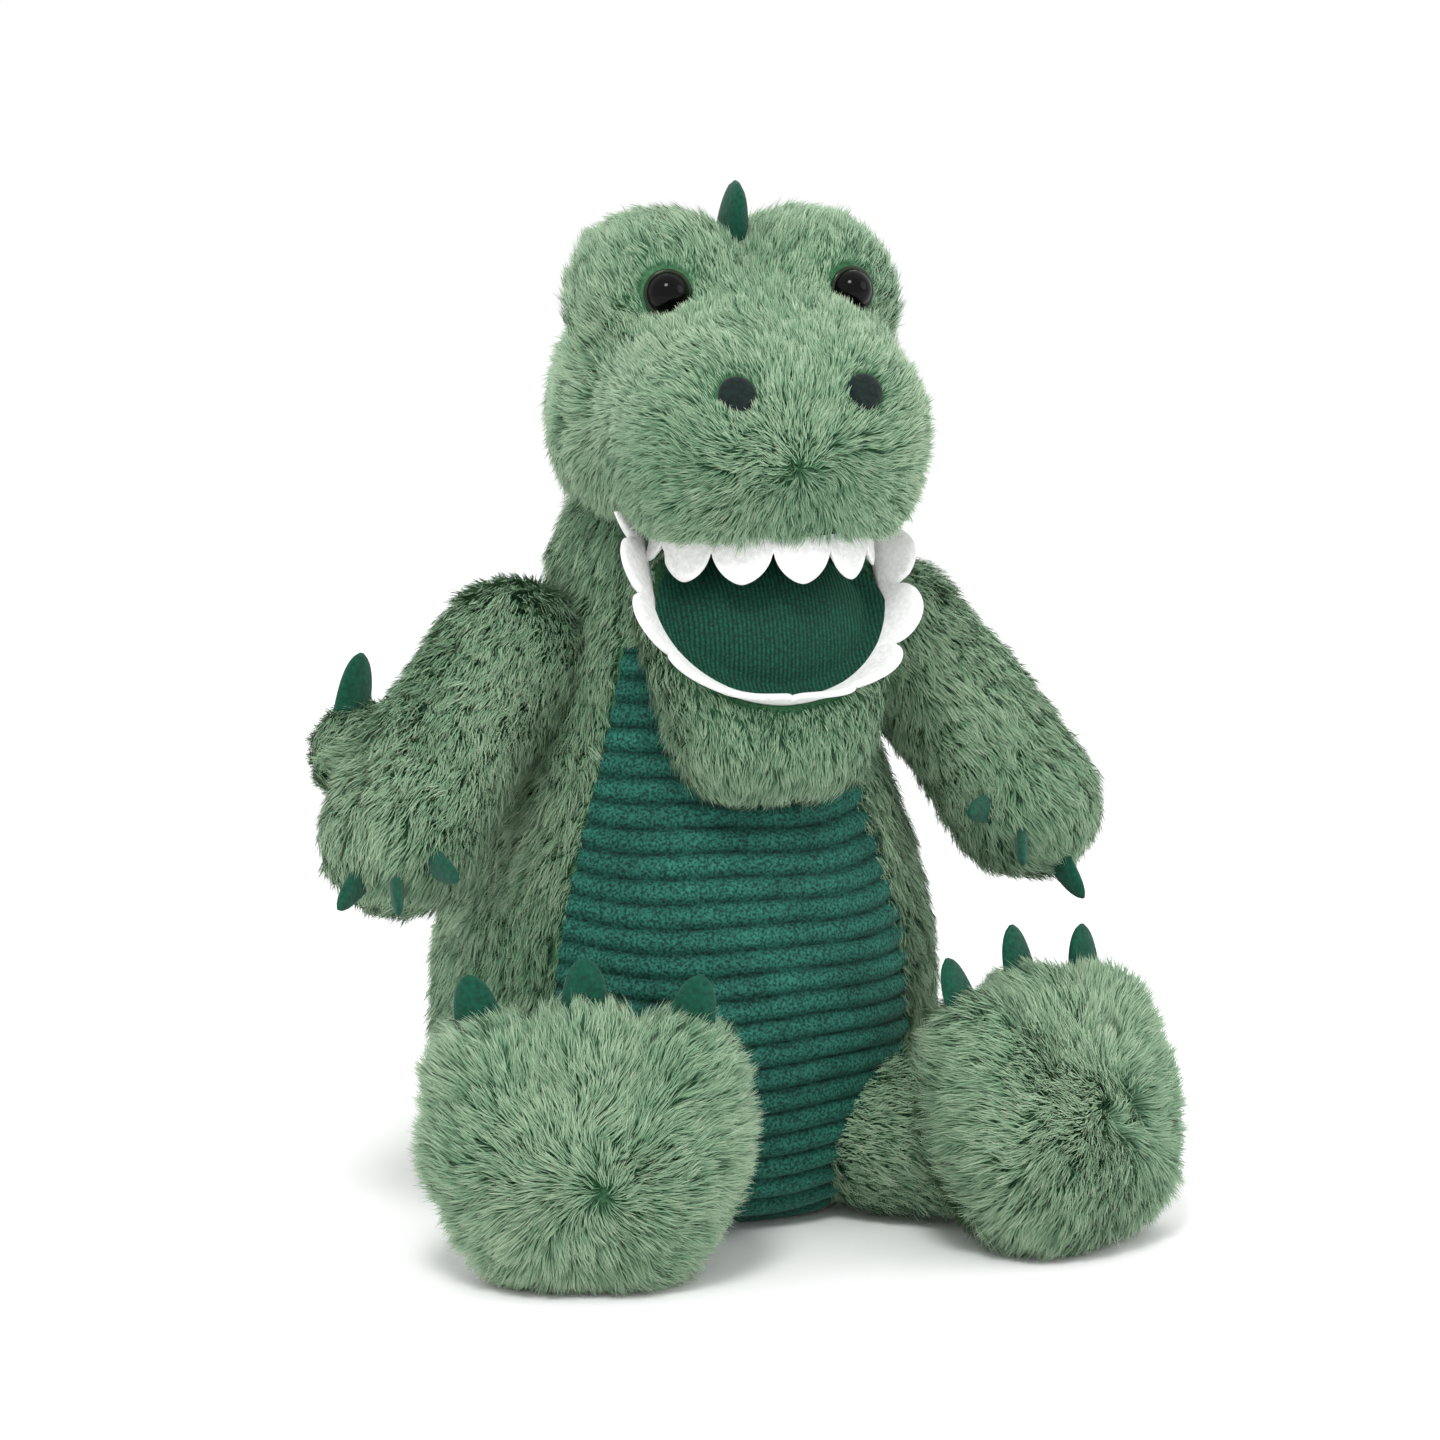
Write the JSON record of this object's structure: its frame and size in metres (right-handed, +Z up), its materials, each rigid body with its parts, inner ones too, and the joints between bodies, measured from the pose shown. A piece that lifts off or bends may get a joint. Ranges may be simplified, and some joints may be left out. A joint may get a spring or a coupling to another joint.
{
  "type": "stuffed dinosaur",
  "caption": "Sitting plush dinosaur with a furry pear body, corduroy belly, open toothed mouth, clawed hands and upright feet, and a curled spiked tail.",
  "frame": {"origin": "centre of the underside of the base panel, on the surface the toy sits on", "axes": "+Z up; the toy faces -Y; its own right hand is on -X"},
  "size_m": [0.2413, 0.2821, 0.2946],
  "materials": {
    "pile_fur": "long soft pile",
    "corduroy": "wide-wale corduroy",
    "velour": "short ribbed velour",
    "white_felt": "matt felt",
    "green_felt": "matt felt",
    "nostril_cloth": "matt cloth",
    "eye_plastic": "polished",
    "washer_plastic": "moulded",
    "fibre_fill": "loose polyester fibre",
    "pellet_bag": "woven bag of plastic pellets"
  },
  "bodies": {
    "torso": {"body_fur_right": "pile_fur", "body_fur_left": "pile_fur", "belly_panel": "corduroy", "base_panel": "pile_fur", "body_stuffing": "fibre_fill", "pellet_bag": "pellet_bag", "back_spikes": "green_felt"},
    "head": {"head_fur_right": "pile_fur", "head_fur_left": "pile_fur", "brow_right": "pile_fur", "brow_left": "pile_fur", "head_stuffing": "fibre_fill", "brow_stuffing_right": "fibre_fill", "brow_stuffing_left": "fibre_fill", "snout_fur": "pile_fur", "snout_stuffing": "fibre_fill", "mouth_roof": "velour", "upper_teeth": "white_felt", "eye_right": "eye_plastic", "eye_left": "eye_plastic", "eye_washer_right": "washer_plastic", "eye_washer_left": "washer_plastic", "nostril_right": "nostril_cloth", "nostril_left": "nostril_cloth", "head_spikes": "green_felt"},
    "jaw": {"jaw_fur": "pile_fur", "jaw_stuffing": "fibre_fill", "mouth_floor": "velour", "lower_teeth": "white_felt"},
    "tail": {"tail_fur": "pile_fur", "tail_stuffing": "fibre_fill", "tail_spikes": "green_felt"},
    "arm_right": {"arm_fur_right": "pile_fur", "arm_stuffing_right": "fibre_fill", "hand_claws_right": "green_felt"},
    "leg_right": {"leg_fur_right": "pile_fur", "leg_stuffing_right": "fibre_fill"},
    "foot_right": {"foot_upper_right": "pile_fur", "foot_sole_right": "pile_fur", "foot_stuffing_right": "fibre_fill", "foot_claws_right": "green_felt"},
    "arm_left": {"arm_fur_left": "pile_fur", "arm_stuffing_left": "fibre_fill", "hand_claws_left": "green_felt"},
    "leg_left": {"leg_fur_left": "pile_fur", "leg_stuffing_left": "fibre_fill"},
    "foot_left": {"foot_upper_left": "pile_fur", "foot_sole_left": "pile_fur", "foot_stuffing_left": "fibre_fill", "foot_claws_left": "green_felt"}
  },
  "joints": [
    {"name": "neck_nod", "type": "hinge", "parent": "torso", "child": "head", "pos_m": [0.008, 0.005, 0.178], "axis": [-1, 0, 0], "range_deg": [-2, 12]},
    {"name": "jaw_close", "type": "hinge", "parent": "head", "child": "jaw", "pos_m": [0.0105, -0.041, 0.1995], "axis": [-1, 0, 0], "range_deg": [-2, 14]},
    {"name": "arm_right_swing", "type": "hinge", "parent": "torso", "child": "arm_right", "pos_m": [-0.05, -0.005, 0.161], "axis": [-1, 0, 0], "range_deg": [-8, 35]},
    {"name": "arm_left_swing", "type": "hinge", "parent": "torso", "child": "arm_left", "pos_m": [0.063, -0.005, 0.163], "axis": [-1, 0, 0], "range_deg": [-8, 35]},
    {"name": "leg_right_lift", "type": "hinge", "parent": "torso", "child": "leg_right", "pos_m": [-0.042, -0.052, 0.024], "axis": [-1, 0, 0], "range_deg": [0, 10]},
    {"name": "leg_left_lift", "type": "hinge", "parent": "torso", "child": "leg_left", "pos_m": [0.048, -0.048, 0.024], "axis": [-1, 0, 0], "range_deg": [0, 10]},
    {"name": "foot_right_tilt", "type": "hinge", "parent": "leg_right", "child": "foot_right", "pos_m": [-0.045, -0.066, 0.025], "axis": [-0.9563, 0.2924, 0], "range_deg": [-8, 6]},
    {"name": "foot_left_tilt", "type": "hinge", "parent": "leg_left", "child": "foot_left", "pos_m": [0.074, -0.068, 0.025], "axis": [-0.848, -0.5299, 0], "range_deg": [-8, 6]},
    {"name": "tail_sway", "type": "hinge", "parent": "torso", "child": "tail", "pos_m": [0, 0.072, 0.031], "axis": [0, 0, 1], "range_deg": [-15, 15]}
  ]
}
